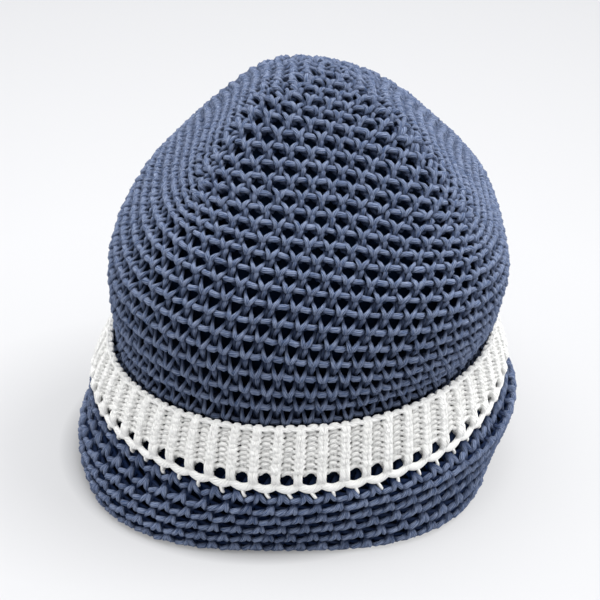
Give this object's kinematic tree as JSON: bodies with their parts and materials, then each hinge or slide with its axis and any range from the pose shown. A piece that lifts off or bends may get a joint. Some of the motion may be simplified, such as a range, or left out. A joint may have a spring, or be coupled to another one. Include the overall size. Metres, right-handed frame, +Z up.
{
  "type": "knit cap",
  "caption": "Bulky knit cap with a domed open-stitch crown, a ribbed band pierced by eyelets and a flared brim, standing on its brim.",
  "frame": {"origin": "on the surface it rests on, under the middle of the outline", "axes": "+Z up through the crown, -Y to the front of the cap, +X to the side the crown leans to"},
  "size_m": [0.2119, 0.1962, 0.193],
  "materials": {
    "blue_yarn": "matte plied cotton yarn, slate blue",
    "white_yarn": "matte plied cotton yarn, off-white"
  },
  "bodies": {
    "root": {"crown": "blue_yarn", "band": "white_yarn", "brim": "blue_yarn"}
  },
  "joints": []
}
